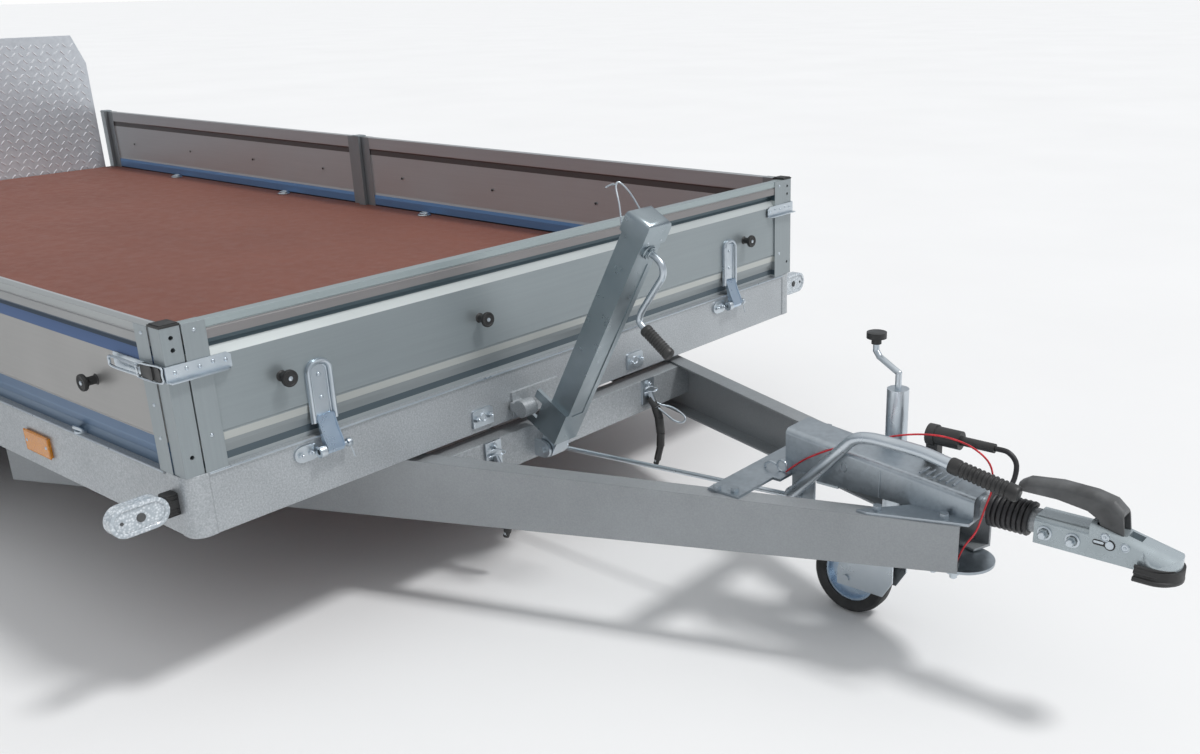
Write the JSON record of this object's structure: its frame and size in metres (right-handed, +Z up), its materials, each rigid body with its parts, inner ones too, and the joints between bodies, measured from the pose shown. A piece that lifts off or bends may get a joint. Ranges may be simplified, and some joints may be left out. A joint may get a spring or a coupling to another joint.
{
  "type": "tilt-bed utility trailer",
  "caption": "Tilt-bed utility trailer with plywood deck, low aluminium walls, upright rear ramp, crank jack, V drawbar with overrun coupling, and wheels beside the bed.",
  "frame": {"origin": "on the ground below the middle of the whole length", "axes": "+X forward to the coupling, +Y left, +Z up"},
  "size_m": [5.935, 2.54, 1.198],
  "materials": {
    "galvanised": "hot-dip galvanised steel with a faint spangle",
    "zinc": "bright zinc-plated steel",
    "aluminium": "satin mill-finish aluminium",
    "black_plastic": "matt black plastic",
    "rubber": "matt black rubber",
    "tyre": "black tyre rubber",
    "plywood": "red-brown film-faced plywood with a fine mesh",
    "handle_grey": "grey-black moulded handle",
    "red_cable": "red plastic-sheathed wire",
    "clear_lamp": "clear ribbed lamp lens",
    "amber": "amber reflector",
    "red_lamp": "red lamp lens",
    "rim": "silver-painted steel wheel"
  },
  "bodies": {
    "chassis": {"drawbar_left": "galvanised", "drawbar_right": "galvanised", "front_beam": "galvanised", "mid_beam": "galvanised", "chassis_rail_left": "galvanised", "chassis_rail_right": "galvanised", "pivot_shaft": "galvanised", "axle_front": "galvanised", "axle_rear": "galvanised", "mudguard_left": "galvanised", "mudguard_right": "galvanised", "overrun_housing": "zinc", "draw_tube": "rubber", "coupling_head": "zinc", "coupling_handle": "handle_grey", "coupling_bumper": "rubber", "handbrake_lever": "zinc", "handbrake_grip": "black_plastic", "jockey_tube": "zinc", "jockey_knob": "black_plastic", "lead_coil": "rubber", "lead_cord": "rubber", "lead_plug": "black_plastic", "breakaway_cable": "red_cable", "beam_cable": "rubber", "brake_rod": "zinc", "beam_fittings": "zinc"},
    "jockey_caster": {"jockey_fork": "zinc"},
    "jockey_wheel": {"jockey_rim": "zinc", "jockey_tyre": "tyre"},
    "jack_inner": {"jack_rod": "zinc"},
    "jack_outer": {"jack_case": "zinc", "jack_crank": "zinc", "jack_grip": "black_plastic"},
    "wheel_fl": {"rim_fl": "rim", "tyre_fl": "tyre"},
    "wheel_fr": {"rim_fr": "rim", "tyre_fr": "tyre"},
    "wheel_rl": {"rim_rl": "rim", "tyre_rl": "tyre"},
    "wheel_rr": {"rim_rr": "rim", "tyre_rr": "tyre"},
    "bed": {"side_rail_left": "galvanised", "side_rail_right": "galvanised", "front_rail": "galvanised", "rear_rail": "galvanised", "cross_members": "galvanised", "deck": "plywood", "posts": "aluminium", "front_wall": "aluminium", "side_walls_left": "aluminium", "side_walls_right": "aluminium", "wall_fittings": "zinc", "rubber_fittings": "rubber", "front_lamps": "clear_lamp", "side_reflectors": "amber", "tail_lamps": "red_lamp"},
    "ramp": {"ramp_plate": "aluminium", "ramp_frame": "aluminium"}
  },
  "joints": [
    {"name": "bed_tilt", "type": "hinge", "parent": "chassis", "child": "bed", "pos_m": [-1.6075, 0, 0.32], "axis": [0, -1, 0], "range_deg": [0, 9]},
    {"name": "ramp_fold", "type": "hinge", "parent": "bed", "child": "ramp", "pos_m": [-2.9445, 0, 0.503], "axis": [0, 1, 0], "range_deg": [-132, 0]},
    {"name": "jack_swing", "type": "hinge", "parent": "chassis", "child": "jack_inner", "pos_m": [1.4475, -0.115, 0.3], "axis": [0, -1, 0], "range_deg": [0, 29.2]},
    {"name": "jack_extend", "type": "slide", "parent": "jack_inner", "child": "jack_outer", "axis": [0.4924, 0, 0.8704], "range_m": [0, 0.498]},
    {"name": "wheel_spin_fl", "type": "hinge", "parent": "chassis", "child": "wheel_fl", "pos_m": [-0.6175, 1.1625, 0.2625], "axis": [0, 1, 0], "continuous": true},
    {"name": "wheel_spin_fr", "type": "hinge", "parent": "chassis", "child": "wheel_fr", "pos_m": [-0.6175, -1.1625, 0.2625], "axis": [0, 1, 0], "continuous": true},
    {"name": "wheel_spin_rl", "type": "hinge", "parent": "chassis", "child": "wheel_rl", "pos_m": [-1.2975, 1.1625, 0.2625], "axis": [0, 1, 0], "continuous": true},
    {"name": "wheel_spin_rr", "type": "hinge", "parent": "chassis", "child": "wheel_rr", "pos_m": [-1.2975, -1.1625, 0.2625], "axis": [0, 1, 0], "continuous": true},
    {"name": "jockey_swivel", "type": "hinge", "parent": "chassis", "child": "jockey_caster", "pos_m": [2.3145, 0.084, 0.215], "axis": [0, 0, 1], "continuous": true},
    {"name": "jockey_roll", "type": "hinge", "parent": "jockey_caster", "child": "jockey_wheel", "pos_m": [2.2195, 0.084, 0.095], "axis": [0, 1, 0], "continuous": true}
  ],
  "couplings": [
    {"joint": "jack_swing", "follows": "bed_tilt", "ratio": 3.2341},
    {"joint": "jack_extend", "follows": "bed_tilt", "m_per_rad": 3.1627}
  ]
}
